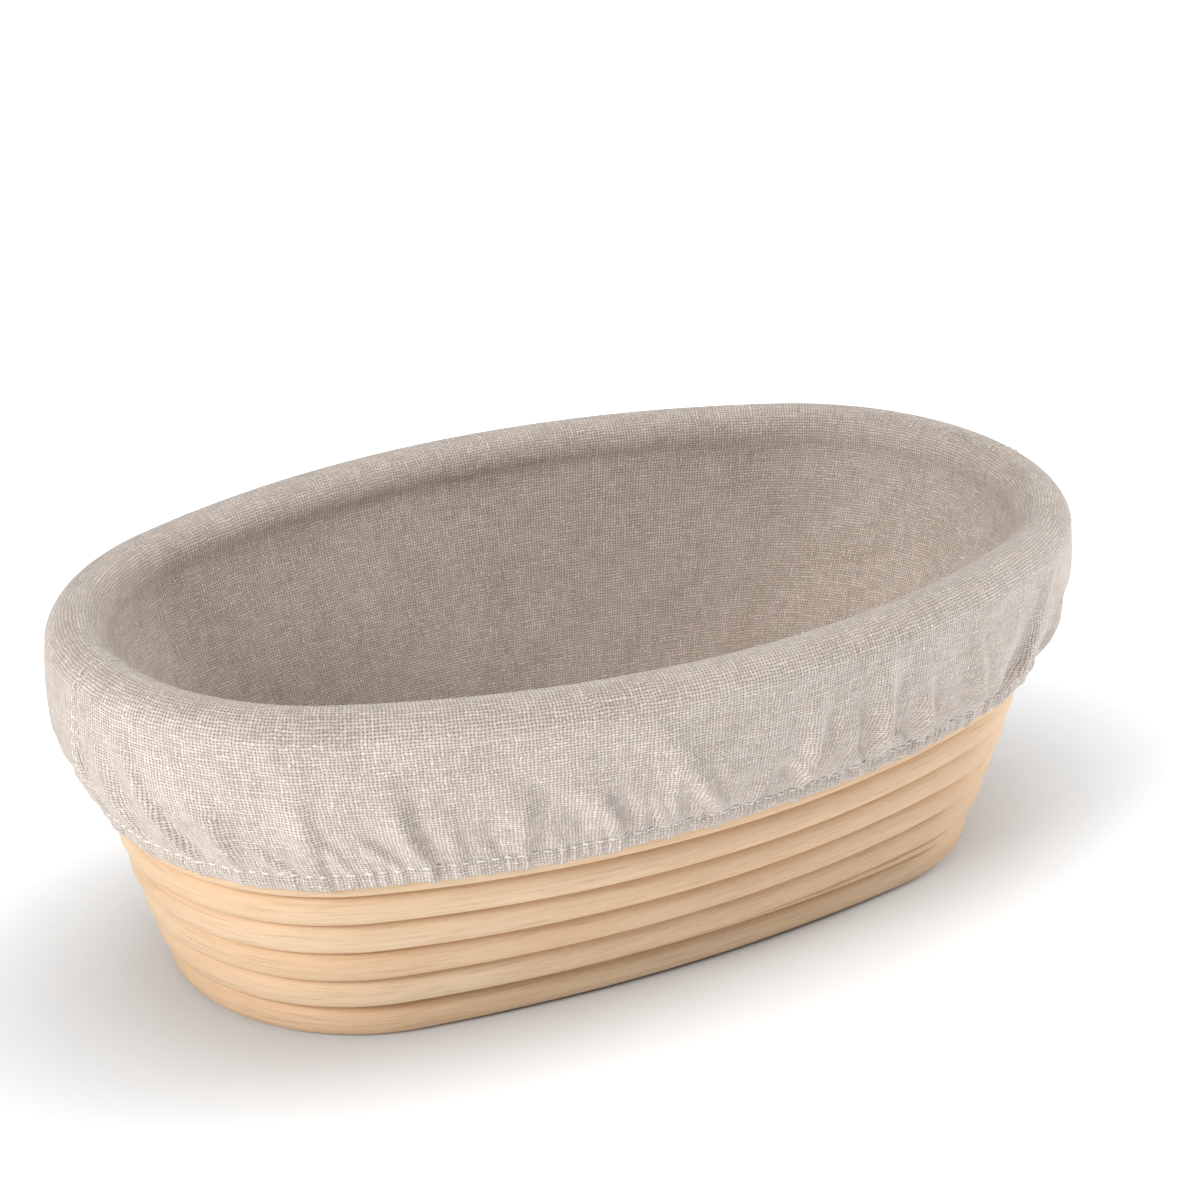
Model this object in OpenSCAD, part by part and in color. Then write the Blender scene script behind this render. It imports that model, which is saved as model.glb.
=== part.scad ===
// Oval proofing basket wound from round cane, with a removable cloth liner.
// Origin: centre of the footprint, on the surface that the basket stands on.
// +X runs along the basket, +Z is up, and the front is at -Y.

/* [Basket] */
// Outside length over the rim hoop
rim_length = 250; // [246:1:256]
// Outside width over the rim hoop
rim_width = 152; // [146:1:156]
// Outside length of the base ring
base_length = 210; // [208:1:214]
// Outside width of the base ring
base_width = 104; // [102:1:106]
// Height of the bare basket
basket_height = 88; // [88:0.5:90]
// Outside radius of the rim's ends, seen from above
rim_end_radius = 62; // [59:1:66]
// Outside radius of the base's ends, seen from above
base_end_radius = 47; // [45:0.5:48]
// How far the wall bows outwards between base and rim, as a share of its lean
wall_bow = 0.4; // [0.2:0.05:0.5]

/* [Cane] */
// Diameter of the cane in the base and the wall
cane_d = 8; // [7.8:0.1:8]
// Diameter of the cane in the rim hoop
rim_cane_d = 10.5; // [10:0.25:10.5]
// Diameter of the wire that the brads and staples are made of
wire_d = 1.1; // [0.8:0.1:1.3]

/* [Liner] */
// Thickness of the cloth with its seam allowances
cloth_t = 0.8; // [0.5:0.1:1]
// Gap between the cloth and the cane
cloth_gap = 0.3; // [0.3:0.1:0.6]
// Height of the hem's lower edge
hem_z = 46; // [44:0.5:52]
// Height of the casing that holds the elastic
casing_h = 5; // [4.5:0.5:6]
// Width of the elastic
elastic_w = 3.2; // [2.5:0.1:3.4]
// Thickness of the elastic
elastic_t = 1; // [0.7:0.1:1.2]
// Diameter of the sewing thread
thread_d = 0.5; // [0.4:0.1:0.6]

/* [Hidden] */

cane_colour = [0.93, 0.8, 0.62];
cloth_colour = [0.79, 0.76, 0.72];
thread_colour = [0.88, 0.86, 0.83];
wire_colour = [0.72, 0.66, 0.5];

// The cane's fit: so many turns fill the wall and the base, with a small gap between turns.
wall_turns = 8.5;
base_turns = 5;
cane_r = cane_d / 2;
rim_r = rim_cane_d / 2;
rim_z = basket_height - rim_r;
wall_foot = cane_d;
wall_top = basket_height - rim_cane_d;
turn_rise = (wall_top - wall_foot) / wall_turns;
turn_gap = turn_rise - cane_d;

// An oval is [half length, half width, end radius]. Its sides are arcs that meet the end arcs smoothly.
base_oval = [base_length / 2, base_width / 2, base_end_radius] - cane_r * [1, 1, 1];
rim_oval = [rim_length / 2, rim_width / 2, rim_end_radius] - rim_r * [1, 1, 1];
base_pitch = cane_d + 0.15;

// Stations run round an oval, counter-clockwise from above: front side, right end, back side, left end.
side_steps = 8;
end_steps = 12;
lap = 2 * (side_steps + end_steps);
right_end = side_steps + end_steps / 2;
back_start = lap / 2;
left_end = lap - end_steps / 2;

// Where one length of cane is spliced to the next, and how far the scarf cut leans
lower_splice = back_start + 3 * lap + 4;
upper_splice = back_start + 6 * lap + 5;
rim_splice = back_start + 3;
wall_start = left_end + 4;
wall_end = left_end + (wall_turns + 1) * lap - 4;
scarf_lean = 1.2;
splice_gap = 0.15;

// Sides of the cane's section, in the wall and in the rim
sides = 8;
rim_sides = 16;

function side_radius(o) = (pow(o[0] - o[2], 2) + pow(o[1], 2) - pow(o[2], 2)) / (2 * (o[1] - o[2]));
function side_half_angle(o) = atan2(o[0] - o[2], side_radius(o) - o[1]);
function grown(o, by) = o + by * [1, 1, 1];
function mix(p, q, share) = p + (q - p) * share;
function smooth(x) = x * x * (3 - 2 * x);

// The place along the four arcs, from 0 to 4, of a whole station number
function turn_of(i) = floor(i / lap);
function arc_place(i) = let (k = i - lap * turn_of(i), half = lap / 2, m = k % half)
  2 * floor(k / half) + (m <= side_steps ? m / side_steps : 1 + (m - side_steps) / end_steps);

// The bearing of the outward normal at a place, counter-clockwise from the front
function bearing(o, place) = let (t = side_half_angle(o), n = floor(place), f = place - n, k = n % 2)
  90 * (n - k) + (k == 0 ? mix(-t, t, f) : mix(t, 180 - t, f));
function normal(o, place) = let (w = bearing(o, place)) [sin(w), -cos(w)];
function arc_centre(o, place) = let (n = floor(place) % 4, s = side_radius(o) - o[1], e = o[0] - o[2])
  n == 0 ? [0, s] : n == 1 ? [e, 0] : n == 2 ? [0, -s] : [-e, 0];
function arc_radius(o, place) = floor(place) % 2 == 0 ? side_radius(o) : o[2];
function on_oval(o, place) = arc_centre(o, place) + arc_radius(o, place) * normal(o, place);

// The centreline of the wall at a height: it leans out from base to rim, and bows a little.
function wall_oval(z) = let (f = (z - cane_r) / (rim_z - cane_r)) mix(base_oval, rim_oval, f + wall_bow * f * (1 - f));

// Turns that the wall's cane has made by a station. It climbs evenly along its length, from the left end.
mid_oval = wall_oval(basket_height / 2);
side_length = side_radius(mid_oval) * 2 * side_half_angle(mid_oval);
end_length = mid_oval[2] * (180 - 2 * side_half_angle(mid_oval));
side_share = side_length / (side_length + end_length);
function lap_share(place) = let (n = floor(place), f = place - n, k = n % 2)
  (n - k) / 4 + (k == 0 ? f * side_share : side_share + f * (1 - side_share)) / 2;
function turns_at(i) = turn_of(i) + lap_share(arc_place(i)) - lap_share(arc_place(left_end));

// Where a cane is split lengthwise to a share of its thickness, its width is the chord that is left.
function chord(share) = share >= 0.5 ? 1 : 2 * sqrt(max(share, 0) * (1 - share));

// A section is [oval, height, half width, half height].
// The wall's cane is split to a long wedge over its first turn and its last, so both edges of the wall are level.
function wall_section(i) = let (
  t = turns_at(i),
  top = wall_foot + turn_rise * min(t, wall_turns) - turn_gap / 2,
  bottom = wall_foot + turn_rise * max(t - 1, 0) + turn_gap / 2,
  z = (top + bottom) / 2, h = (top - bottom) / 2)
  [wall_oval(z), z, cane_r * chord(h / cane_d), h];

// The base's cane moves out by one turn along each back side. It is split to a wedge where it starts and ends.
function base_section(i) = let (
  j = i - back_start, n = turn_of(j), g = smooth(min(1, arc_place(j))),
  inner = n == -base_turns && g < 1, outer = n == 0,
  level = inner ? n + (1 + g) / 2 : outer ? g / 2 : n + g,
  share = inner ? g : outer ? 1 - g : 1)
  [grown(base_oval, level * base_pitch), cane_r, cane_r * share, cane_r * chord(share)];

// One ring round the cane, leaning along it where it is cut for a splice
function cane_ring(i, section, lean = 0, shift = 0, count = sides) =
  let (place = arc_place(i), c = on_oval(section[0], place), n = normal(section[0], place), r = 1 / cos(180 / count))
  [for (k = [0:count - 1]) let (
    w = (k + 0.5) * 360 / count,
    out = section[2] * r * cos(w),
    up = section[3] * r * sin(w),
    along = lean * up + shift)
    [c[0] + n[0] * out - n[1] * along, c[1] + n[1] * out + n[0] * along, section[1] + up]];

// Half the oval's width at x, on its side arc
function side_y(o, x) = sqrt(pow(side_radius(o), 2) - x * x) - side_radius(o) + o[1];
function shaved_ring(x, y, half_width, half_height) = [for (k = [0:sides - 1])
  let (w = (k + 0.5) * 360 / sides, r = 1 / cos(180 / sides))
  [x, y - half_width * r * cos(w), cane_r + half_height * r * sin(w)]];

// A solid through a list of rings that all have the same number of points
module skin(rings, closed = false) {
  n = len(rings[0]);
  m = len(rings);
  last = closed ? m - 1 : m - 2;
  points = [for (r = rings) each r];
  walls = [for (j = [0:last]) for (k = [0:n - 1]) let (
    a = j * n + k, b = j * n + (k + 1) % n, c = ((j + 1) % m) * n + (k + 1) % n, d = ((j + 1) % m) * n + k)
    each [[a, b, c], [a, c, d]]];
  first_cap = [for (k = [n - 1:-1:0]) k];
  last_cap = [for (k = [0:n - 1]) (m - 1) * n + k];
  polyhedron(points, closed ? walls : concat(walls, [first_cap, last_cap]));
}

module wall_cane(from, to) {
  color(cane_colour) skin([for (i = [from:to])
    let (lean = (i == lower_splice || i == upper_splice) ? scarf_lean : 0)
    cane_ring(i, wall_section(i), lean, i == from && lean > 0 ? splice_gap : 0)]);
}

// A straight wire from p to q
module wire(p, q, d = wire_d) {
  v = q - p;
  translate(p) rotate([0, acos(v[2] / norm(v)), atan2(v[1], v[0])]) cylinder(d = d, h = norm(v), $fn = 16);
}

function on_wall(z, place, out = 0) = let (p = on_oval(grown(wall_oval(z), out), place)) [p[0], p[1], z];
function on_base(level, place) = let (p = on_oval(grown(base_oval, level * base_pitch), place)) [p[0], p[1], cane_r];

// A brad from the middle of one turn to the middle of the next, and a little past both
module brad(p, q) {
  color(wire_colour) wire(mix(p, q, -0.25), mix(p, q, 1.25));
}

// A straight cane down the middle of the base, and one each side that is shaved to fill the space inside the coil
module base_core() {
  first_turn = grown(base_oval, (1 - base_turns) * base_pitch);
  middle_end = first_turn[0] - cane_d;
  side_end = middle_end - 6;
  color(cane_colour) translate([-middle_end, 0, cane_r]) rotate([0, 90, 0])
    cylinder(d = cane_d, h = 2 * middle_end, $fn = 48);
  for (side = [-1, 1]) color(cane_colour) skin([for (x = [-side_end:side_end / 5:side_end + 0.1])
    let (edge = side_y(first_turn, x) - base_pitch / 2 - 0.05, width = edge - cane_r - 0.1)
    shaved_ring(x, side * (edge - width / 2), width / 2, cane_r * chord(width / cane_d))]);
}

module base_coil() {
  start = back_start + 1 - base_turns * lap;
  finish = back_start + side_steps - 1;
  color(cane_colour) skin([for (i = [start:finish]) cane_ring(i, base_section(i))]);
}

module wall_cane_lower() { wall_cane(wall_start, lower_splice); }
module wall_cane_middle() { wall_cane(lower_splice, upper_splice); }
module wall_cane_upper() { wall_cane(upper_splice, wall_end); }

// The hoop is one turn, closed by a scarf joint on the back side.
module rim_hoop() {
  color(cane_colour) skin([for (i = [rim_splice:rim_splice + lap])
    let (lean = (i == rim_splice || i == rim_splice + lap) ? scarf_lean : 0)
    cane_ring(i, [rim_oval, rim_z, rim_r, rim_r], lean, i == rim_splice ? splice_gap : 0, rim_sides)]);
}

module base_brads() {
  for (n = [1 - base_turns:-1], place = [0.5, 1.5, 3.5])
    brad(on_base(n, place + 0.05 * n), on_base(n + 1, place + 0.05 * n));
  for (x = [-35, 35]) brad([x, -cane_d, cane_r], [x, cane_d, cane_r]);
}

module wall_brads() {
  for (i = [wall_start + lap:7:left_end + 7.6 * lap]) {
    z = wall_section(i)[1];
    brad(on_wall(z, arc_place(i)), on_wall(z + turn_rise, arc_place(i)));
  }
}

module rim_brads() {
  for (place = [0.2, 0.8, 1.5, 2.1, 2.6, 3.1, 3.7])
    brad(on_wall(rim_z - 2 * cane_r, place), on_wall(rim_z, place));
}

// Staples over the groove between the base ring and the wall, on the inside
module floor_staples() {
  half_crown = 0.04;
  z = wall_foot + 1;
  for (place = [0.3, 0.7, 1.4, 2.2, 2.8, 3.4]) {
    crown = [for (side = [-1, 1]) on_wall(z, place + side * half_crown, -0.7 * cane_r)];
    past = (crown[1] - crown[0]) / norm(crown[1] - crown[0]) * wire_d / 2;
    color(wire_colour) union() {
      wire(crown[0] - past, crown[1] + past);
      for (k = [0, 1]) wire(crown[k], on_wall(z, place + (2 * k - 1) * half_crown, 0.6 * cane_r), 0.85 * wire_d);
    }
  }
}

// The liner. An edge is [oval, height], and a profile is the list of edges round the cloth's section.
crest_angles = [0, 30, 60, 90];
bag_heights = [cane_d + cloth_gap, 24, 40, 56, rim_z - rim_r - cane_r];
drop_shares = [0.15, 0.35, 0.55, 0.75, 0.9];
clear = cane_r / cos(180 / sides) + cloth_gap + 0.2;
crest_r = (rim_r / cos(180 / rim_sides) + cloth_gap) / cos(15);
casing_t = 2 * cloth_t + elastic_t + 0.3;
hem_oval = grown(wall_oval(hem_z + casing_h), clear);

function bag_edge(z, out) = [grown(wall_oval(z), out - clear), z];
function crest_edge(angle, r) = [grown(rim_oval, -r * cos(angle)), rim_z + r * sin(angle)];
function hem_edge(out, up) = [grown(hem_oval, out), hem_z + up];

// The skirt hangs almost straight off the rim and turns in towards the hem.
function skirt_edge(share, in) = let (top = crest_edge(180, crest_r + cloth_t), foot = hem_edge(casing_t, casing_h))
  [grown(mix(top[0], foot[0], pow(share, 1.8)), -in), mix(top[1], foot[1], share)];

function bag_profile() = concat(
  [for (z = bag_heights) bag_edge(z, 0)],
  [for (w = crest_angles) crest_edge(w, crest_r)],
  [for (k = [3:-1:0]) crest_edge(crest_angles[k], crest_r + cloth_t)],
  [for (k = [4:-1:0]) bag_edge(bag_heights[k], -cloth_t)]);

function skirt_profile() = concat(
  [for (w = crest_angles) crest_edge(w + 90, crest_r + cloth_t)],
  [for (f = drop_shares) skirt_edge(f, 0)],
  [hem_edge(casing_t, casing_h), hem_edge(casing_t, 0), hem_edge(0, 0), hem_edge(0, casing_h)],
  [hem_edge(cloth_t, casing_h), hem_edge(cloth_t, cloth_t), hem_edge(casing_t - cloth_t, cloth_t)],
  [hem_edge(casing_t - cloth_t, casing_h)],
  [for (k = [4:-1:0]) skirt_edge(drop_shares[k], cloth_t)],
  [for (k = [3:-1:0]) crest_edge(crest_angles[k] + 90, crest_r)]);

function strip_profile(edge, w, h) = [for (c = [[1, 1], [1, -1], [-1, -1], [-1, 1]])
  [grown(edge[0], c[0] * w / 2), edge[1] + c[1] * h / 2]];

function profile_ring(profile, i) = [for (k = [len(profile) - 1:-1:0])
  let (p = on_oval(profile[k][0], arc_place(i))) [p[0], p[1], profile[k][1]]];

// Half of a band of cloth, from one end seam to the other
module band(profile, from) {
  color(cloth_colour) skin([for (i = [from:from + lap / 2]) profile_ring(profile, i)]);
}

// A closed strip round the liner
module loop(edge, w, h) {
  color(thread_colour) skin([for (i = [0:lap - 1]) profile_ring(strip_profile(edge, w, h), i)], closed = true);
}

// A thread down an end seam, on the cloth's outside
module end_thread(station) {
  proud = 0.7 * thread_d;
  t = thread_d / 2;
  side = station == right_end ? 1 : -1;
  edges = concat([for (w = [100, 120, 150, 180]) crest_edge(w, crest_r + cloth_t + proud)],
    [for (f = drop_shares) skirt_edge(f, -proud)]);
  color(thread_colour) skin([for (e = edges) let (x = side * e[0][0])
    [for (c = [[1, 1], [1, -1], [-1, -1], [-1, 1]]) [x + side * c[1] * t, side * c[0] * t, e[1] + c[1] * t]]]);
}

module liner_floor() {
  edge = bag_edge(bag_heights[0], -cloth_t - 0.05);
  color(cloth_colour) translate([0, 0, edge[1]]) linear_extrude(cloth_t)
    polygon([for (i = [0:lap - 1]) on_oval(edge[0], arc_place(i))]);
}

module liner_wall_front() { band(bag_profile(), left_end - lap); }
module liner_wall_back() { band(bag_profile(), right_end); }
module liner_skirt_front() { band(skirt_profile(), left_end - lap); }
module liner_skirt_back() { band(skirt_profile(), right_end); }
module hem_elastic() { loop(hem_edge(casing_t / 2, cloth_t + elastic_w / 2 + 0.1), elastic_t, elastic_w); }
module hem_thread() { loop(hem_edge(casing_t + 0.7 * thread_d, casing_h - thread_d), thread_d, thread_d); }
module floor_seam_thread() {
  loop([bag_edge(bag_heights[0], -cloth_t - thread_d)[0], bag_heights[0] + cloth_t + 0.6 * thread_d], thread_d, thread_d);
}
module end_seam_thread_left() { end_thread(left_end); }
module end_seam_thread_right() { end_thread(right_end); }

base_core();
base_coil();
wall_cane_lower();
wall_cane_middle();
wall_cane_upper();
rim_hoop();
base_brads();
wall_brads();
rim_brads();
floor_staples();
liner_floor();
liner_wall_front();
liner_wall_back();
liner_skirt_front();
liner_skirt_back();
hem_elastic();
hem_thread();
floor_seam_thread();
end_seam_thread_left();
end_seam_thread_right();
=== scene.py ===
"""Oval proofing basket wound from round cane, with its cloth liner on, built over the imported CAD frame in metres.

Ways round the basket are given in turns: 0 is where the front side starts on the left, and 1 is one turn later,
counter-clockwise seen from above. Every outline is an oval of four arcs: [half length, half width, end radius].
"""
import math

import bpy
import numpy as np
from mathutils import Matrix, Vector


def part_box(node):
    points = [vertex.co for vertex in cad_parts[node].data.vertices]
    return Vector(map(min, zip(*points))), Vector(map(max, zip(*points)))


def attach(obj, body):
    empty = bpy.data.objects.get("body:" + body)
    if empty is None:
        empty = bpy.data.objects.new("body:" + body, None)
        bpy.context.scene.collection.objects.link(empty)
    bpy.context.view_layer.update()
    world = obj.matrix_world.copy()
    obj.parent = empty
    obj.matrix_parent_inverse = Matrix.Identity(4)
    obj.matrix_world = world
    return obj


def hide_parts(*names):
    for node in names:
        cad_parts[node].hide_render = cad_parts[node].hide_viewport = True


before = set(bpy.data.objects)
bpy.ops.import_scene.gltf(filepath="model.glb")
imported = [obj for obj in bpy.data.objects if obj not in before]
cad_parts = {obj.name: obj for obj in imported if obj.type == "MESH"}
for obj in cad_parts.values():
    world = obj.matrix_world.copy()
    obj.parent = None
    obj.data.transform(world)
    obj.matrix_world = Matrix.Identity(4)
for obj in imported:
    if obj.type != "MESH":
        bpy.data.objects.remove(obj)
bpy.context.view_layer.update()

MM = 0.001

# ---------------------------------------------------------------- sizes from the frame
_, coil_high = (np.array(c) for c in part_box("base_coil"))
rim_low, rim_high = (np.array(c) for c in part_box("rim_hoop"))
CANE_R = coil_high[2] / 2
RIM_R = (rim_high[2] - rim_low[2]) / 2
RIM_Z = rim_high[2] - RIM_R
HEM_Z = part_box("liner_skirt_front")[0][2]
FLOOR_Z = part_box("liner_floor")[0][2]

# The rest of the winding, as in the CAD
BASE_END_RADIUS = 47 * MM
RIM_END_RADIUS = 62 * MM
WALL_BOW = 0.4
WALL_TURNS = 8.5
BASE_TURNS = 5
WALL_FOOT = 2 * CANE_R
TURN_RISE = (rim_low[2] - WALL_FOOT) / WALL_TURNS
CANE_GAP = 0.15 * MM  # between the base's turns, and at a splice
BASE_PITCH = 2 * CANE_R + CANE_GAP
BASE_OVAL = np.array([coil_high[0], coil_high[1], BASE_END_RADIUS]) - CANE_R
RIM_OVAL = np.array([rim_high[0], rim_high[1], RIM_END_RADIUS]) - RIM_R

# The liner
CLOTH_T = 0.55 * MM
CASING_H = 4.2 * MM
CASING_T = 1.5 * MM
CASING_GAP = 0.3 * MM  # between the wall's cane and the casing
LINING_GAP = 0.75 * MM  # between the cane and the middle of the cloth that lies on it
THREAD_R = 0.27 * MM
END_THREAD_R = 0.15 * MM
SEAM_SLIP = 7 * MM  # the liner has slipped round a little, so its left seam is toward the front
HEM_RAISED = 1.3 * MM  # the hem over the CAD's, at the middle of the basket's length
HEM_TILT = 2.1 * MM  # how much further up it is at the right end, and down at the left


# ---------------------------------------------------------------- ovals
def side_radius(o):
    return ((o[..., 0] - o[..., 2]) ** 2 + o[..., 1] ** 2 - o[..., 2] ** 2) / (2 * (o[..., 1] - o[..., 2]))


def side_half_angle(o):
    return np.arctan2(o[..., 0] - o[..., 2], side_radius(o) - o[..., 1])


def wall_oval(z):
    """The centreline of the wall's cane at a height: it leans out from base to rim, and bows a little."""
    f = (np.asarray(z, float) - CANE_R) / (RIM_Z - CANE_R)
    return BASE_OVAL + (RIM_OVAL - BASE_OVAL) * (f + WALL_BOW * f * (1 - f))[..., None]


def grown(o, by):
    return o + np.asarray(by)[..., None]


mid_oval = wall_oval(rim_high[2] / 2)
side_length = side_radius(mid_oval) * 2 * side_half_angle(mid_oval)
end_length = mid_oval[2] * (math.pi - 2 * side_half_angle(mid_oval))
SIDE_SHARE = side_length / (side_length + end_length)
LEFT_END = 0.75 + SIDE_SHARE / 4
RIGHT_END = LEFT_END - 0.5
PERIMETER = 2 * (side_length + end_length)
LEFT_SEAM = LEFT_END + SEAM_SLIP / PERIMETER
RIGHT_SEAM = RIGHT_END


def on_oval(o, turn):
    """(points, outward normals) on ovals o at these turns. The two arrays go together, item by item."""
    turn = np.asarray(turn, float) % 1
    half = np.floor(2 * turn)
    r = 2 * turn - half
    on_side = r < SIDE_SHARE
    f = np.where(on_side, r / SIDE_SHARE, (r - SIDE_SHARE) / (1 - SIDE_SHARE))
    t = side_half_angle(o)
    w = math.pi * half + np.where(on_side, t * (2 * f - 1), t + (math.pi - 2 * t) * f)
    n = np.stack([np.sin(w), -np.cos(w)], -1)
    flip = 1 - 2 * half
    sr = side_radius(o)
    cx = np.where(on_side, 0, flip * (o[..., 0] - o[..., 2]))
    cy = np.where(on_side, flip * (sr - o[..., 1]), 0)
    radius = np.where(on_side, sr, o[..., 2])
    return np.stack([cx, cy], -1) + radius[..., None] * n, n


def drift(x, seed, waves=5, lowest=1.0):
    """A smooth wandering value of about -1 to 1 along x, always the same for one seed."""
    rng = np.random.default_rng(seed)
    freq = lowest * (1 + np.arange(waves) * 0.83) * rng.uniform(0.85, 1.15, waves)
    phase = rng.uniform(0, 2 * math.pi, waves)
    size = 1 / (1 + np.arange(waves)) ** 0.7
    x = np.asarray(x, float)[..., None]
    return (np.sin(2 * math.pi * freq * x + phase) * size).sum(-1) / size.sum() * 1.6


# ---------------------------------------------------------------- meshes
def new_piece(name, verts, faces, body, replaced, material, smooth=True):
    mesh = bpy.data.meshes.new(name)
    mesh.from_pydata([tuple(v) for v in verts], [], [tuple(int(i) for i in f) for f in faces])
    mesh.validate()
    if smooth:
        mesh.polygons.foreach_set("use_smooth", [True] * len(mesh.polygons))
    obj = bpy.data.objects.new(name, mesh)
    bpy.context.collection.objects.link(obj)
    obj.data.materials.append(material)
    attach(obj, body)
    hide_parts(*replaced)
    return obj


def point_vectors(obj, name, values):
    layer = obj.data.attributes.new(name, "FLOAT_VECTOR", "POINT")
    layer.data.foreach_set("vector", np.asarray(values, float).ravel())


def tube_faces(rings, around, closed=False, first=0):
    """Quads over a grid of rings, with a cap at each end unless the rings close on themselves."""
    faces = []
    for j in range(rings if closed else rings - 1):
        a, b = first + j * around, first + ((j + 1) % rings) * around
        for k in range(around):
            q = (k + 1) % around
            faces.append((a + k, a + q, b + q, b + k))
    if not closed:
        faces.append(tuple(first + k for k in reversed(range(around))))
        faces.append(tuple(first + (rings - 1) * around + k for k in range(around)))
    return faces


def section(count, power):
    """A superellipse of unit half width and height: power 2 is round, and more is squarer."""
    w = (np.arange(count) + 0.5) * 2 * math.pi / count
    c, s = np.cos(w), np.sin(w)
    return np.sign(c) * np.abs(c) ** (2 / power), np.sign(s) * np.abs(s) ** (2 / power)


class Sweep:
    """Canes swept along paths, gathered into one mesh with a grain attribute: distance along, and place across."""

    def __init__(self):
        self.verts, self.grain, self.faces, self.count = [], [], [], 0

    def add(self, centre, out, half_width, half_height, power=2.5, around=24, lean=None, seed=0):
        ox, oy = section(around, power)
        n = len(centre)
        step = np.linalg.norm(np.diff(centre, axis=0), axis=1)
        along = np.concatenate([[0], np.cumsum(step)])
        tangent = np.gradient(centre, axis=0)
        tangent /= np.linalg.norm(tangent, axis=1)[:, None]
        swell = 1 + 0.012 * drift(along / 0.09, seed)
        x = ox[None] * (half_width * swell)[:, None]
        y = oy[None] * half_height[:, None]
        shift = np.zeros_like(y) if lean is None else lean[:, None] * y
        p = centre[:, None] + out[:, None] * x[..., None] + tangent[:, None] * shift[..., None]
        p[..., 2] += y
        self.verts.append(p.reshape(-1, 3))
        self.grain.append(np.stack([along[:, None] + shift + 0.37 * seed, x + 0.05 * seed, y], -1).reshape(-1, 3))
        self.faces += tube_faces(n, around, first=self.count)
        self.count += n * around

    def make(self, name, replaced, material):
        obj = new_piece(name, np.concatenate(self.verts), self.faces, "basket", replaced, material)
        point_vectors(obj, "grain", np.concatenate(self.grain))


# ---------------------------------------------------------------- materials
class Nodes:
    """A short way to write a node tree: every method adds a node and returns its output."""

    def __init__(self, name):
        self.material = bpy.data.materials.new(name)
        self.material.use_nodes = True
        self.tree = self.material.node_tree
        self.bsdf = self.tree.nodes["Principled BSDF"]

    def add(self, kind, out=0, **inputs):
        node = self.tree.nodes.new(kind)
        for key, value in inputs.items():
            if key.startswith("_"):
                setattr(node, key[1:], value)
                continue
            socket = node.inputs[int(key[1:]) if key[0] == "i" and key[1:].isdigit() else key.replace("__", " ")]
            if isinstance(value, bpy.types.NodeSocket):
                self.tree.links.new(value, socket)
            else:
                socket.default_value = value
        return node.outputs[out]

    def math(self, operation, a, b=0.0, c=0.0):
        return self.add("ShaderNodeMath", _operation=operation, i0=a, i1=b, i2=c)

    def mix(self, share, a, b, blend="MIX"):
        return self.add("ShaderNodeMix", 2, _data_type="RGBA", _blend_type=blend, i0=share, i6=a, i7=b)

    def noise(self, vector, scale, detail=2.0, roughness=0.5):
        return self.add("ShaderNodeTexNoise", Vector=vector, Scale=scale, Detail=detail, Roughness=roughness)

    def scaled(self, vector, by):
        return self.add("ShaderNodeVectorMath", _operation="MULTIPLY", i0=vector, i1=by)

    def span(self, value, low, high, to_low=0.0, to_high=1.0):
        return self.add("ShaderNodeMapRange", Value=value, i1=low, i2=high, i3=to_low, i4=to_high)

    def attribute(self, name):
        return self.add("ShaderNodeAttribute", 1, _attribute_name=name)

    def link(self, output, socket):
        self.tree.links.new(output, self.bsdf.inputs[socket])

    def bump(self, height, distance, strength=1.0, onto=None):
        extra = {} if onto is None else {"Normal": onto}
        return self.add("ShaderNodeBump", Strength=strength, Distance=distance, Height=height, **extra)


def cane_material():
    """Peeled rattan: fine fibres and pores along the cane, slow changes of colour, a dull waxy surface."""
    n = Nodes("peeled_rattan")
    grain = n.attribute("grain")
    fine = n.noise(n.scaled(grain, (0.035, 1, 1)), 2900, 4.0, 0.65)
    coarse = n.noise(n.scaled(grain, (0.03, 1, 1)), 1500, 2.0, 0.5)
    patches = n.noise(n.scaled(grain, (0.5, 1, 1)), 42, 2.0, 0.5)
    slow = n.noise(grain, 9, 1.0)
    streaks = n.math("ADD", n.math("MULTIPLY", fine, 0.7), n.math("MULTIPLY", coarse, 0.3))
    tone = n.mix(n.span(slow, 0.35, 0.68), (0.80, 0.55, 0.345, 1), (0.84, 0.62, 0.41, 1))
    tone = n.mix(n.span(patches, 0.45, 0.75, 0, 0.3), tone, (0.87, 0.70, 0.50, 1))
    dark = n.span(streaks, 0.50, 0.36, 0, 0.5)
    tone = n.mix(dark, tone, (0.56, 0.37, 0.21, 1))
    light = n.span(streaks, 0.56, 0.68, 0, 0.35)
    tone = n.mix(light, tone, (0.92, 0.78, 0.60, 1))
    n.link(tone, "Base Color")
    n.link(n.span(streaks, 0.3, 0.7, 0.62, 0.48), "Roughness")
    n.link(n.bump(streaks, 0.18 * MM, 0.8), "Normal")
    n.bsdf.inputs["Specular IOR Level"].default_value = 0.35
    return n.material


LINEN = (0.84, 0.745, 0.68)
THREAD_PITCH = 0.70 * MM
THREAD_WANDER = 0.9 * MM


def linen(red, green, blue):
    """The linen's colour with each channel at a share of its own value."""
    return LINEN[0] * red, LINEN[1] * green, LINEN[2] * blue, 1


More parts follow.
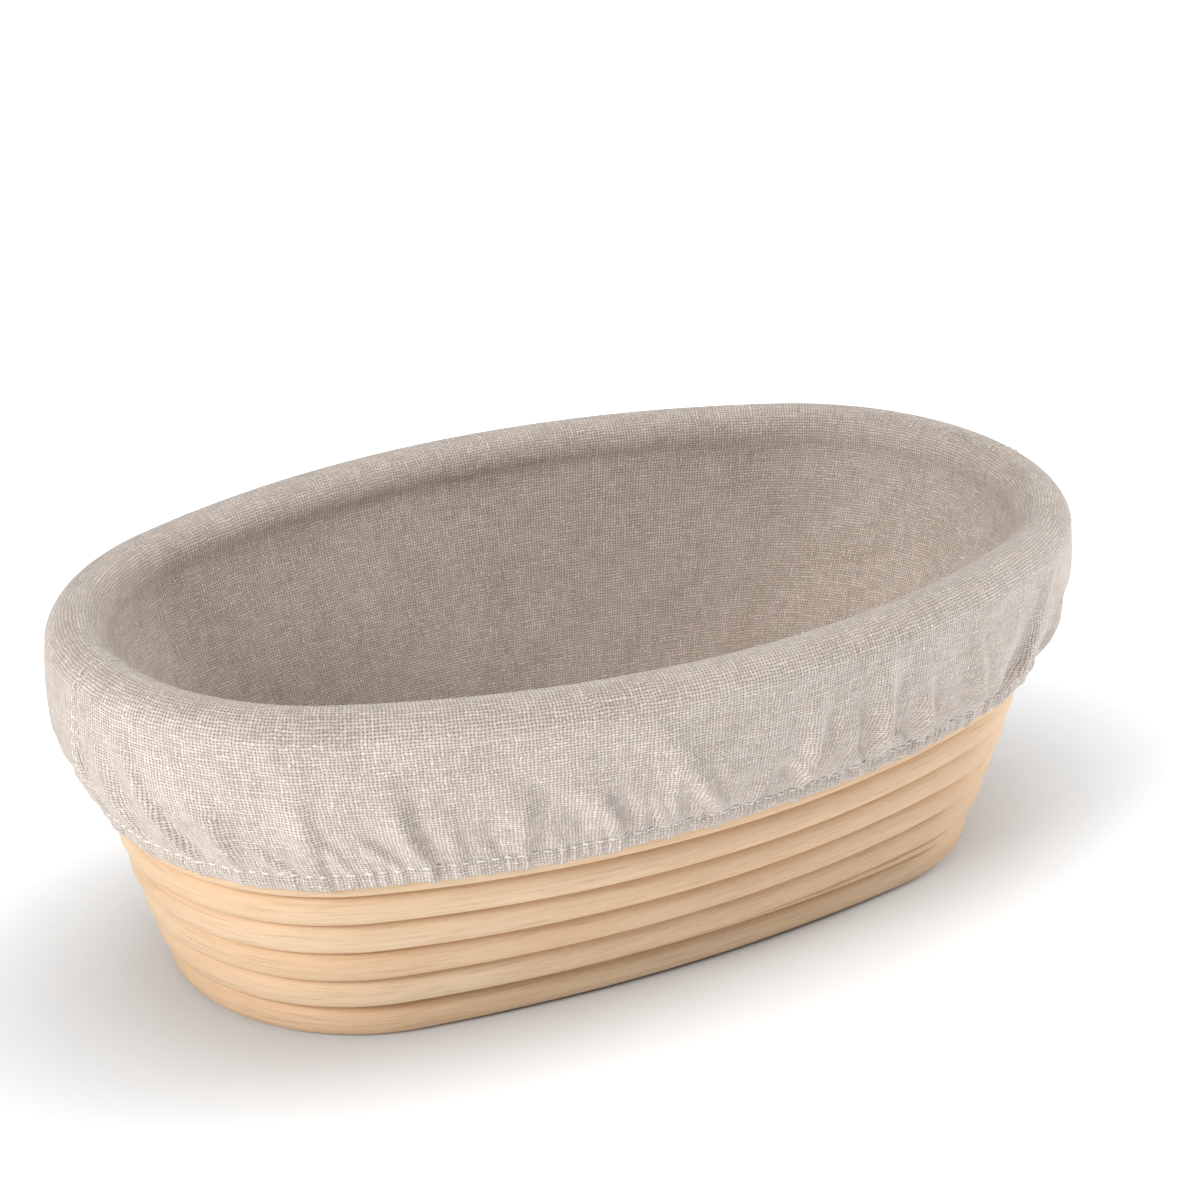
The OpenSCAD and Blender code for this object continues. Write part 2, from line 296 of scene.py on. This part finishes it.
def cloth_material():
    """Undyed plain weave. The attribute "weave" is the place on the flat cloth: along the weft, and along the warp."""
    n = Nodes("linen_cotton")
    flat = n.attribute("weave")
    wander = n.add("ShaderNodeTexNoise", 1, Vector=flat, Scale=420.0, Detail=3.0)
    wander = n.add("ShaderNodeVectorMath", _operation="SUBTRACT", i0=wander, i1=(0.5, 0.5, 0.5))
    wander = n.scaled(wander, (THREAD_WANDER,) * 3)
    place = n.scaled(n.add("ShaderNodeVectorMath", _operation="ADD", i0=flat, i1=wander), (1 / THREAD_PITCH,) * 3)
    split = n.tree.nodes.new("ShaderNodeSeparateXYZ")
    n.tree.links.new(place, split.inputs[0])
    u, v = split.outputs[0], split.outputs[1]

    def slub(number, along, seed, quick=0.13):
        """Each thread has its own tone, which changes slowly along it."""
        x, y = n.math("MULTIPLY", number, 1.7), n.math("MULTIPLY", along, quick)
        at = n.add("ShaderNodeCombineXYZ", X=x, Y=y, Z=seed)
        return n.noise(at, 1.0, 2.0, 0.6)

    def thread(across, along):
        """(roundness, over and under, number) of the threads that lie side by side across this way."""
        number = n.math("ROUND", across)
        off = n.math("SUBTRACT", across, number)
        narrow = n.math("MULTIPLY_ADD", slub(number, along, 13.0, 0.2), 6.0, 1.2)
        body = n.math("SUBTRACT", 1.0, n.math("MULTIPLY", n.math("MULTIPLY", off, off), narrow))
        wave = n.math("COSINE", n.math("MULTIPLY", n.math("ADD", along, number), math.pi))
        return body, wave, number

    warp_body, warp_wave, warp_number = thread(u, v)
    weft_body, weft_wave, weft_number = thread(v, u)
    warp = n.math("MULTIPLY", warp_body, n.math("MULTIPLY_ADD", warp_wave, 0.36, 0.64))
    weft = n.math("MULTIPLY", weft_body, n.math("MULTIPLY_ADD", weft_wave, -0.36, 0.64))
    height = n.math("MAXIMUM", warp, weft)

    over = n.math("GREATER_THAN", warp, weft)
    weft_tone, warp_tone = slub(weft_number, u, 7.0), slub(warp_number, v, 1.0)
    tone = n.add("ShaderNodeMix", _data_type="FLOAT", i0=over, i2=weft_tone, i3=warp_tone)
    specks = n.noise(flat, 1100.0, 2.0, 0.6)
    cloudy = n.noise(flat, 60.0, 3.0, 0.6)
    base = n.mix(n.span(tone, 0.34, 0.66), linen(0.66, 0.64, 0.61), linen(1.1, 1.1, 1.1))
    base = n.mix(n.span(specks, 0.62, 0.35, 0, 0.45), base, linen(0.62, 0.58, 0.54))
    base = n.mix(n.span(cloudy, 0.35, 0.7, 0, 0.3), base, linen(1.12, 1.13, 1.15))
    # Painted shade: the low places between the threads are darkened, for the shade in the gaps of the weave.
    base = n.mix(n.span(height, 0.66, 0.20, 0, 1), base, linen(0.26, 0.22, 0.18))
    n.link(base, "Base Color")
    n.bsdf.inputs["Roughness"].default_value = 0.92
    n.bsdf.inputs["Specular IOR Level"].default_value = 0.15
    n.bsdf.inputs["Sheen Weight"].default_value = 0.25
    n.bsdf.inputs["Sheen Roughness"].default_value = 0.6
    fuzz = n.noise(flat, 5200.0, 2.0)
    rise = n.math("ADD", height, n.math("MULTIPLY", fuzz, 0.22))
    n.link(n.bump(rise, 0.13 * MM, 0.8), "Normal")
    return n.material


def thread_material():
    """Spun thread: a twist along each stitch."""
    n = Nodes("sewing_thread")
    where = n.add("ShaderNodeTexCoord", 3)
    twist = n.noise(where, 3500.0, 1.0)
    n.link(n.mix(n.span(twist, 0.35, 0.65), (0.84, 0.79, 0.73, 1), (0.96, 0.94, 0.90, 1)), "Base Color")
    n.bsdf.inputs["Roughness"].default_value = 0.8
    n.link(n.bump(twist, 0.08 * MM), "Normal")
    return n.material


def wire_material():
    """Plated steel wire with a little tarnish, which also changes its roughness."""
    n = Nodes("plated_wire")
    where = n.add("ShaderNodeTexCoord", 3)
    stain = n.noise(where, 900.0, 3.0)
    n.link(n.mix(n.span(stain, 0.4, 0.65), (0.55, 0.50, 0.41, 1), (0.33, 0.27, 0.2, 1)), "Base Color")
    n.bsdf.inputs["Metallic"].default_value = 1.0
    n.link(n.span(stain, 0.3, 0.7, 0.25, 0.5), "Roughness")
    return n.material


def elastic_material():
    """Braided elastic: small slanted ribs."""
    n = Nodes("braided_elastic")
    where = n.add("ShaderNodeTexCoord", 3)
    ribs = n.add("ShaderNodeTexWave", 1, Vector=where, Scale=420.0, Distortion=1.5)
    n.link(n.mix(ribs, (0.66, 0.65, 0.62, 1), (0.84, 0.83, 0.8, 1)), "Base Color")
    n.bsdf.inputs["Roughness"].default_value = 0.75
    n.link(n.bump(ribs, 0.15 * MM), "Normal")
    return n.material


cane = cane_material()
cloth = cloth_material()
thread = thread_material()
wire = wire_material()
elastic = elastic_material()

# ---------------------------------------------------------------- the basket
STATION = 3.2 * MM  # between the rings of a swept cane
THINNEST = 0.06  # how far round a wedge starts, so that its tip has some thickness
SPLICE_GAP = CANE_GAP / PERIMETER


def chord(share):
    """What is left of a round cane's width when it is split lengthwise to a share of its thickness."""
    share = np.clip(share, 0, 1)
    return np.where(share >= 0.5, 1, 2 * np.sqrt(share * (1 - share)))


def scarf(along_end, reach=12 * MM, slope=1.2):
    """How far the section leans along the cane: none, rising to slope at a spliced end."""
    return slope * np.clip(1 - along_end / reach, 0, 1)


def wall_path(first, last):
    """The wall's cane between two numbers of turns after its start: it climbs evenly, and both its ends are wedges."""
    t = np.linspace(first, last, int((last - first) * PERIMETER / STATION))
    gap = TURN_RISE - 2 * CANE_R
    top = WALL_FOOT + TURN_RISE * np.minimum(t, WALL_TURNS) - gap / 2
    bottom = WALL_FOOT + TURN_RISE * np.maximum(t - 1, 0) + gap / 2
    z, half = (top + bottom) / 2, (top - bottom) / 2
    turn = t + LEFT_END
    xy, normal = on_oval(wall_oval(z), turn)
    xy = xy + normal * (0.16 * MM * drift(t, 11, 6, 1.3))[:, None]
    width = CANE_R * chord(half / (2 * CANE_R))
    return t, np.column_stack([xy, z]), np.column_stack([normal, 0 * z]), width, half * 1.012


def wall_cane(name, first, last, seed):
    t, centre, out, width, half = wall_path(first, last)
    from_start, from_end = (t - t[0]) * PERIMETER, (t[-1] - t) * PERIMETER
    lean = np.zeros_like(t)
    if first > 1:
        lean += scarf(from_start)
    if last < WALL_TURNS:
        lean += scarf(from_end)
    sweep = Sweep()
    sweep.add(centre, out, width, half, lean=lean, seed=seed)
    sweep.make(name + "_wound", [name], cane)


lower_splice = 3 + (0.5 + SIDE_SHARE / 4) - LEFT_END
upper_splice = lower_splice + 3 + SIDE_SHARE / 16
wall_cane("wall_cane_lower", THINNEST, lower_splice, 1)
wall_cane("wall_cane_middle", lower_splice + SPLICE_GAP, upper_splice, 2)
wall_cane("wall_cane_upper", upper_splice + SPLICE_GAP, WALL_TURNS + 1 - THINNEST, 3)


def rim_hoop():
    """The thicker cane on top of the wall, closed by a scarf joint."""
    start = 0.5 + SIDE_SHARE * 3 / 16
    t = np.linspace(start, start + 1 - 2 * SPLICE_GAP, int(PERIMETER / STATION) * 2)
    xy, normal = on_oval(np.broadcast_to(RIM_OVAL, (len(t), 3)), t)
    edge = np.minimum(t - t[0], t[-1] - t) * PERIMETER
    full = np.full(len(t), RIM_R)
    sweep = Sweep()
    centre, out = np.column_stack([xy, full * 0 + RIM_Z]), np.column_stack([normal, 0 * t])
    sweep.add(centre, out, full * 0.985, full, 2.15, 36, scarf(edge), 4)
    sweep.make("rim_cane", ["rim_hoop"], cane)


rim_hoop()


def base_coil():
    """The spiral under the wall. It moves out by one turn along each back side, and starts and ends as a wedge."""
    back = 0.5
    t = np.linspace(-BASE_TURNS + 0.004, SIDE_SHARE / 2 * 0.93, int(BASE_TURNS * PERIMETER / STATION * 0.8))
    n = np.floor(t)
    x = np.clip((t - n) / (SIDE_SHARE / 2), 0, 1)
    g = x * x * (3 - 2 * x)
    inner, outer = (n == -BASE_TURNS) & (x < 1), n == 0
    level = np.where(inner, n + (1 + g) / 2, np.where(outer, g / 2, n + g))
    share = np.where(inner, g, np.where(outer, 1 - g, 1))
    xy, normal = on_oval(grown(np.broadcast_to(BASE_OVAL, (len(t), 3)), level * BASE_PITCH), t + back)
    sweep = Sweep()
    centre, out = np.column_stack([xy, 0 * t + CANE_R]), np.column_stack([normal, 0 * t])
    sweep.add(centre, out, CANE_R * share, CANE_R * chord(share), 2.5, 20, seed=5)
    sweep.make("base_cane", ["base_coil"], cane)


def base_core():
    """A straight cane down the middle, and one each side that is shaved to fill the space inside the coil."""
    first_turn = BASE_OVAL - (BASE_TURNS - 1) * BASE_PITCH
    middle_end = first_turn[0] - 2 * CANE_R
    side_end = middle_end - 6 * MM
    sr = float(side_radius(first_turn))
    sweep = Sweep()
    for side in (-1, 0, 1):
        end = side_end if side else middle_end
        x = np.linspace(-end, end, 60)
        edge = np.sqrt(sr * sr - x * x) - sr + first_turn[1] - BASE_PITCH / 2 - 0.05 * MM
        width = edge - CANE_R - 0.1 * MM if side else np.full(len(x), 2 * CANE_R)
        y = side * (edge - width / 2)
        out = np.tile([0.0, -1.0, 0.0], (len(x), 1))
        height = CANE_R * chord(width / (2 * CANE_R))
        sweep.add(np.column_stack([x, y, 0 * x + CANE_R]), out, width / 2, height, 2.6, 20, seed=7 + side)
    sweep.make("base_middle_canes", ["base_core"], cane)


base_coil()
base_core()
for node in ("base_brads", "wall_brads", "rim_brads", "floor_staples"):
    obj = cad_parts[node]
    obj.data.materials.clear()
    obj.data.materials.append(wire)

# ---------------------------------------------------------------- the liner
# A half band of cloth is a grid: columns run along the basket, and rows run from the floor seam up the wall,
# over the rim, down the outside, round the hem and up inside the casing.
OUT_FOOT = grown(wall_oval(HEM_Z + CASING_H), CANE_R + CASING_GAP + CASING_T)
CREST_R = RIM_R + LINING_GAP


def wall_rows():
    """(oval, height) up the inside, with a small round where the wall meets the floor."""
    rows = []
    for z in np.linspace(FLOOR_Z + 0.6 * MM, rim_low[2] - 1 * MM, 15):
        corner = 3.5 * MM * math.exp(-(z - FLOOR_Z) / (3 * MM))
        rows.append((grown(wall_oval(z), -CANE_R - LINING_GAP - corner), z))
    return rows


def crest_rows():
    """Round the rim hoop, from inside to outside."""
    angles = np.radians(np.linspace(-25, 172, 22))
    return [(grown(RIM_OVAL, -CREST_R * math.cos(w)), RIM_Z + CREST_R * math.sin(w)) for w in angles]


def skirt_rows():
    """Almost straight down from the rim, then pulled in to the hem by the elastic."""
    top, top_z = crest_rows()[-1]
    rows = []
    for f in np.linspace(0, 1, 42)[1:]:
        share = 0.62 * f + 0.38 * f ** 4
        rows.append((top + (OUT_FOOT - top) * share, top_z + (HEM_Z + CASING_H - top_z) * f))
    return rows


def hem_rows():
    """Down the casing's outside, round its edge and up its inside."""
    rows = []
    for f in (0.25, 0.5, 0.75):
        z = HEM_Z + CASING_H * (1 - f)
        bulge = 0.25 * MM * math.sin(math.pi * f)
        rows.append((grown(wall_oval(z), CANE_R + CASING_GAP + CASING_T + bulge), z))
    edge = wall_oval(HEM_Z + 0.5 * MM)
    for w in np.radians([20, 60, 90, 120, 160]):
        out = CANE_R + CASING_GAP + CASING_T / 2 * (1 + math.cos(w))
        rows.append((grown(edge, out), HEM_Z + 0.8 * MM - 0.8 * MM * math.sin(w)))
    for f in (0.3, 0.65, 1.0):
        z = HEM_Z + 0.9 * MM + (CASING_H - 0.9 * MM) * f
        rows.append((grown(wall_oval(z), CANE_R + 0.45 * MM), z))
    return rows


ROWS = wall_rows() + crest_rows() + skirt_rows() + hem_rows()
FIRST_SKIRT = len(wall_rows()) + len(crest_rows())
ROW_Z = np.array([z for _, z in ROWS])
ROW_OVAL = np.array([o for o, _ in ROWS])
STITCH_ROW = len(ROWS) - len(hem_rows()) - 1
STITCH_Z = HEM_Z + CASING_H
CASING_INSIDE = len(ROWS) - 4  # the first row that faces the canes
LOOSE_ROWS = 9  # how many rows before the skirt the cloth starts to leave the rim
END_SEAM_ROWS = 12  # how many rows before the skirt the end seams' stitches show

# Folds of the skirt: the gap between them, how far up they reach, how far out and how wide they are, and their slant
TALL_FOLDS = {
    "seed": 24,
    "spacing": (9 * MM, 21 * MM),
    "reach": (21 * MM, 40 * MM),
    "height": (1.4 * MM, 2.5 * MM),
    "width": (1.5 * MM, 2.3 * MM),
    "slant": (-0.55, 0.12),
}
SHORT_FOLDS = {
    "seed": 5,
    "spacing": (4.2 * MM, 8.5 * MM),
    "reach": (9 * MM, 18 * MM),
    "height": (0.7 * MM, 1.3 * MM),
    "width": (1.1 * MM, 1.6 * MM),
    "slant": (-0.7, 0.1),
}
PUCKER_SPACING = 2.7 * MM
PUCKER_HEIGHT = 0.27 * MM
STITCH_GROOVE = 0.25 * MM
SEAM_GROOVE = 0.35 * MM
LOOSE_AT_SIDES = 1.0 * MM
LOOSER_AT_ENDS = 2.6 * MM


def ridge(x, rise, fall):
    """One fold across: a crest with a soft side and a steeper one, and a shallow valley beyond each."""
    width = np.where(x < 0, rise, fall)
    return np.exp(-((x / width) ** 2)) - 0.42 * np.exp(-(((np.abs(x) - 2.1 * width) / (1.1 * width)) ** 2))


def folds(along, up, seed, spacing, reach, height, width, slant):
    """Folds that start at the gathered hem at uneven places, and fade out as they go up."""
    rng = np.random.default_rng(seed)
    d = np.zeros(along.shape)
    at = rng.uniform(*spacing)
    while at < PERIMETER - spacing[0] / 2:
        tall, wide, lean, curl = rng.uniform(*reach), rng.uniform(*width), rng.uniform(*slant), rng.uniform(-0.9, 0.9)
        size = rng.uniform(*height)
        x = along - at - lean * up - curl * up * up / tall * 0.35
        x = (x + PERIMETER / 2) % PERIMETER - PERIMETER / 2
        near = np.abs(x) < 12 * wide
        q = np.clip((up[near] / tall - 0.2) / 0.8, 0, 1)
        open_up = wide * (1 + 0.9 * up[near] / tall)
        d[near] += size * (1 - q * q * (3 - 2 * q)) * ridge(x[near], open_up, 0.62 * open_up)
        at += rng.uniform(*spacing)
    return d


def fold_field(along, z):
    """How far the skirt stands out from its smooth shape: tall slanted folds, shorter ones between them, and the
    fine puckers of the gathered hem."""
    up = np.clip(z - STITCH_Z, 0, None)
    d = folds(along, up, **TALL_FOLDS)
    d += folds(along, up, **SHORT_FOLDS)
    d *= 0.25 + 0.75 * np.clip(up / (6 * MM), 0, 1)
    beat = along / PUCKER_SPACING + 0.9 * drift(along / 0.05, 31)
    pucker = np.sin(2 * math.pi * beat) * (0.8 + 0.4 * drift(along / 0.012, 32))
    d += PUCKER_HEIGHT * pucker * np.exp(-up / (3.5 * MM))
    slack = np.clip(up / (12 * MM), 0, 1) * np.clip((RIM_Z - z) / (14 * MM), 0, 1)
    d += 0.55 * MM * drift(along / PERIMETER * 9 + z * 12, 33) * slack
    return d - STITCH_GROOVE * np.exp(-(((z - STITCH_Z) / (0.9 * MM)) ** 2))


def from_seam(turn):
    """The distance round to the nearer end seam."""
    away = [np.abs((turn - seam + 0.5) % 1 - 0.5) for seam in (LEFT_SEAM, RIGHT_SEAM)]
    return np.min(away, axis=0) * PERIMETER


def cloth_point(turn, row):
    """Points of the liner at these turns, on rows by number."""
    turn = np.asarray(turn, float)
    o, z = ROW_OVAL[row], ROW_Z[row]
    skirt = row >= FIRST_SKIRT
    # The hem sits higher at the right end than at the left
    middle, _ = on_oval(o, turn)
    low = np.where(skirt, np.clip((RIM_Z - z) / (RIM_Z - HEM_Z), 0, 1), 0) ** 1.5
    lift = low * (HEM_RAISED + HEM_TILT * middle[..., 0] / RIM_OVAL[0])
    near_hem = np.where(skirt, np.clip(1 - (z - HEM_Z) / (6 * MM), 0, 1), 0)
    lift += near_hem * MM * (0.16 * drift(turn * PERIMETER / 0.011, 36) + 0.4 * drift(turn * 5, 37))
    o = o + (wall_oval(z + lift) - wall_oval(z))
    xy, normal = on_oval(o, turn)
    end = np.abs(normal[..., 0]) ** 2
    d = np.where(skirt, fold_field(turn * PERIMETER, z) * (1 - 0.5 * end), 0)
    d = np.where(row >= CASING_INSIDE, np.maximum(d * 0.35, 0), d)
    # The liner is loose past the rim, most of all at the two ends
    drop = np.clip((z - STITCH_Z) / (RIM_Z - STITCH_Z), 0, 1)
    outside = np.clip((row - FIRST_SKIRT + LOOSE_ROWS) / LOOSE_ROWS, 0, 1)
    bulge = np.sin(math.pi * np.clip(0.12 + 0.75 * drop, 0, 1)) * np.clip((z - STITCH_Z) / (12 * MM), 0, 1)
    d = d + outside * (LOOSE_AT_SIDES + LOOSER_AT_ENDS * end) * bulge
    d = d - SEAM_GROOVE * np.exp(-((from_seam(turn) / (0.9 * MM)) ** 2))
    slack_wall = (row < FIRST_SKIRT) & (z < RIM_Z - 6 * MM)
    d = d - np.where(slack_wall, np.abs(0.35 * MM * drift(turn * 7 + z * 30, 35)), 0)
    return np.concatenate([xy + normal * d[..., None], (z + lift)[..., None]], -1)


profile_xy, _ = on_oval(ROW_OVAL, np.full(len(ROWS), 0.1))
profile = np.column_stack([profile_xy, ROW_Z])
ROW_LENGTH = np.concatenate([[0], np.cumsum(np.linalg.norm(np.diff(profile, axis=0), axis=1))])


COLUMNS = 560  # round each half band


def half_band(name, first, last, nodes):
    """One of the liner's two half bands, from seam to seam."""
    turn = np.linspace(first, last, COLUMNS)
    rows = np.arange(len(ROWS))
    tt, rr = np.meshgrid(turn, rows, indexing="ij")
    p = cloth_point(tt, rr).reshape(-1, 3)
    m = len(rows)
    corners = [i * m + j for i in range(COLUMNS - 1) for j in range(m - 1)]
    faces = [(a, a + m, a + m + 1, a + 1) for a in corners]
    obj = new_piece(name, p, faces, "liner", nodes, cloth)
    flat = np.stack([tt * PERIMETER, ROW_LENGTH[rr], 0 * tt], -1).reshape(-1, 3)
    point_vectors(obj, "weave", flat)
    thicken(obj)


def thicken(obj):
    """Gives a sheet of cloth its thickness, half to each side."""
    shell = obj.modifiers.new("thickness", "SOLIDIFY")
    shell.thickness = CLOTH_T
    shell.offset = 0
    bpy.context.view_layer.objects.active = obj
    obj.select_set(True)
    bpy.ops.object.modifier_apply(modifier=shell.name)
    obj.select_set(False)


half_band("liner_front", LEFT_SEAM - 1, RIGHT_SEAM, ["liner_wall_front", "liner_skirt_front"])
half_band("liner_back", RIGHT_SEAM, LEFT_SEAM, ["liner_wall_back", "liner_skirt_back"])


def liner_floor():
    """The oval base panel. It lies on the coil, and shows its turns faintly."""
    rings, columns = 34, 240
    edge = ROW_OVAL[0]
    turn = np.arange(columns) / columns
    outline, _ = on_oval(np.broadcast_to(edge, (columns, 3)), turn)
    verts, flat = [(0, 0, FLOOR_Z + 0.4 * MM)], [(0, 0, 0)]
    for i in range(1, rings + 1):
        r = i / rings
        for x, y in outline * r:
            height = FLOOR_Z + 0.35 * MM + 0.12 * MM * math.cos(2 * math.pi * (1 - r) * BASE_OVAL[1] / BASE_PITCH)
            height += 0.25 * MM * r ** 12
            verts.append((x, y, height))
            flat.append((x, y, 0))
    faces = [(0, 1 + k, 1 + (k + 1) % columns) for k in range(columns)]
    for i in range(rings - 1):
        a, b = 1 + i * columns, 1 + (i + 1) * columns
        faces += [(a + k, b + k, b + (k + 1) % columns, a + (k + 1) % columns) for k in range(columns)]
    obj = new_piece("liner_panel", verts, faces, "liner", ["liner_floor"], cloth)
    point_vectors(obj, "weave", np.array(flat) + np.array([0.4, 0.4, 0]))
    thicken(obj)


liner_floor()


# ---------------------------------------------------------------- sewing
def stitches(name, node, routes, radius=THREAD_R, stitch=2.3 * MM, gap=0.9 * MM):
    """Short stitches along routes. A route is (points, outward directions)."""
    verts, faces = [], []
    for points, outward in routes:
        length = np.concatenate([[0], np.cumsum(np.linalg.norm(np.diff(points, axis=0), axis=1))])
        at = 0.0
        while at + stitch < length[-1]:
            s = np.linspace(at, at + stitch, 5)
            p = np.column_stack([np.interp(s, length, points[:, i]) for i in range(3)])
            o = np.column_stack([np.interp(s, length, outward[:, i]) for i in range(3)])
            o /= np.linalg.norm(o, axis=1)[:, None]
            rise = np.array([-1.2, 0.8, 1.3, 0.8, -1.2]) * radius + CLOTH_T / 2
            p = p + o * rise[:, None]
            tangent = np.gradient(p, axis=0)
            tangent /= np.linalg.norm(tangent, axis=1)[:, None]
            side = np.cross(tangent, o)
            w = np.arange(6) * math.pi / 3
            across = np.cos(w)[None, :, None] * side[:, None] + np.sin(w)[None, :, None] * o[:, None]
            ring = p[:, None] + radius * across
            faces += tube_faces(5, 6, first=len(verts))
            verts += list(ring.reshape(-1, 3))
            at += stitch + gap
    new_piece(name, verts, faces, "liner", [node], thread)


def outward_at(turn, tilt=0.0):
    """Directions out of the basket at these turns, tilted up by an angle."""
    _, n = on_oval(np.broadcast_to(RIM_OVAL, (len(turn), 3)), turn)
    return np.column_stack([n * math.cos(tilt), np.full(len(turn), math.sin(tilt))])


round_turns = np.linspace(0, 1, 1600)
hem_line = cloth_point(round_turns, np.full(len(round_turns), STITCH_ROW))
stitches("hem_stitches", "hem_thread", [(hem_line, outward_at(round_turns))])

floor_line = cloth_point(round_turns, np.ones(len(round_turns), int))
stitches("floor_seam_stitches", "floor_seam_thread", [(floor_line, -outward_at(round_turns, -0.7))])

for side, seam in (("left", LEFT_SEAM), ("right", RIGHT_SEAM)):
    routes = []
    for offset in (-1.1 * MM, 1.1 * MM):
        rows = np.arange(FIRST_SKIRT - END_SEAM_ROWS, STITCH_ROW)
        turn = np.full(len(rows), seam + offset / PERIMETER)
        line = cloth_point(turn, rows)
        direction = np.gradient(line, axis=0)
        direction /= np.linalg.norm(direction, axis=1)[:, None]
        along = outward_at(turn)
        sideways = np.cross([0, 0, 1.0], along)
        routes.append((line, np.cross(direction, sideways)))
    stitches("end_seam_stitches_" + side, "end_seam_thread_" + side, routes, radius=END_THREAD_R)


def hem_elastic():
    """A flat braided band inside the casing."""
    half_height, middle = 1.4 * MM, 2.3 * MM
    verts = []
    for t in np.arange(400) / 400:
        x = on_oval(wall_oval(HEM_Z), t)[0][0]
        height = HEM_Z + middle + HEM_RAISED + HEM_TILT * x / RIM_OVAL[0]
        z = np.array([-1, -1, 1, 1]) * half_height + height
        out = np.array([0.62, 1.0, 1.0, 0.62]) * MM + CANE_R + CASING_GAP
        xy, _ = on_oval(grown(wall_oval(z), out), np.full(4, t))
        verts += [(x, y, h) for (x, y), h in zip(xy, z)]
    faces = tube_faces(400, 4, closed=True)
    new_piece("elastic_band", verts, faces, "liner", ["hem_elastic"], elastic, smooth=False)


hem_elastic()

# ---------------------------------------------------------------- camera, floor and light
camera = bpy.data.objects.new("camera", bpy.data.cameras.new("camera"))
bpy.context.collection.objects.link(camera)
LOOKS_DOWN, LOOKS_RIGHT = 24.88, 29.05  # degrees, fitted to the photo
camera.data.lens = 85
camera.data.sensor_width = 36
camera.location = (-0.2903, -0.532, 0.3543)
camera.rotation_euler = (math.radians(90 - LOOKS_DOWN), 0, math.radians(-LOOKS_RIGHT))
bpy.context.scene.camera = camera


def floor():
    """A pale floor that glows white away from the basket, as in the photo, with less glow close to it: a painted
    shadow round the basket.
    """
    size = 4.0
    mesh = bpy.data.meshes.new("floor")
    mesh.from_pydata([(-size, -size, 0), (size, -size, 0), (size, size, 0), (-size, size, 0)], [], [(0, 1, 2, 3)])
    obj = bpy.data.objects.new("floor", mesh)
    bpy.context.collection.objects.link(obj)
    n = Nodes("pale_floor")
    place = n.add("ShaderNodeTexCoord", 3)
    away = n.add("ShaderNodeVectorMath", 1, _operation="LENGTH", i0=n.scaled(place, (0.5, 1, 1)))
    paper = n.noise(place, 240.0, 2.0)
    n.bsdf.inputs["Base Color"].default_value = (0.73, 0.765, 0.80, 1)
    n.bsdf.inputs["Roughness"].default_value = 0.8
    n.bsdf.inputs["Emission Color"].default_value = (1, 1, 1, 1)
    # Painted shadow: the floor's glow is zero near the basket and rises away from it, which paints a shadow round the
    # basket.
    glow_with_painted_shadow = n.math("ADD", n.span(away, 0.052, 0.10, 0.0, 0.62), n.span(away, 0.10, 0.3, 0.0, 0.3))
    n.link(glow_with_painted_shadow, "Emission Strength")
    n.link(n.bump(paper, 0.02 * MM), "Normal")
    obj.data.materials.append(n.material)


def softbox(name, place, target, size, power, colour=(1, 1, 1)):
    """A soft light at a place, turned toward a target."""
    light = bpy.data.objects.new(name, bpy.data.lights.new(name, "AREA"))
    bpy.context.collection.objects.link(light)
    light.data.shape = "RECTANGLE"
    light.data.size, light.data.size_y = size
    light.data.energy = power
    light.data.color = colour
    light.location = place
    aim = np.array(target) - np.array(place)
    tip, turn = math.atan2(math.hypot(aim[0], aim[1]), -aim[2]), math.atan2(aim[1], aim[0]) - math.pi / 2
    light.rotation_euler = (tip, 0, turn)


floor()
softbox("key_left", (-1.2, -0.38, 0.8), (0, 0, 0.04), (0.45, 0.45), 12.5, (1, 0.985, 0.965))
softbox("fill_right", (1.3, -0.12, 0.6), (0, 0, 0.04), (0.6, 0.6), 11.5)
softbox("top", (0.0, 0.3, 1.6), (0, 0, 0), (1.6, 1.6), 8)
world = bpy.data.worlds.new("studio")
bpy.context.scene.world = world
world.use_nodes = True
world.node_tree.nodes["Background"].inputs["Color"].default_value = (1, 1, 1, 1)
world.node_tree.nodes["Background"].inputs["Strength"].default_value = 0.13
bpy.context.scene.view_settings.view_transform = "Standard"
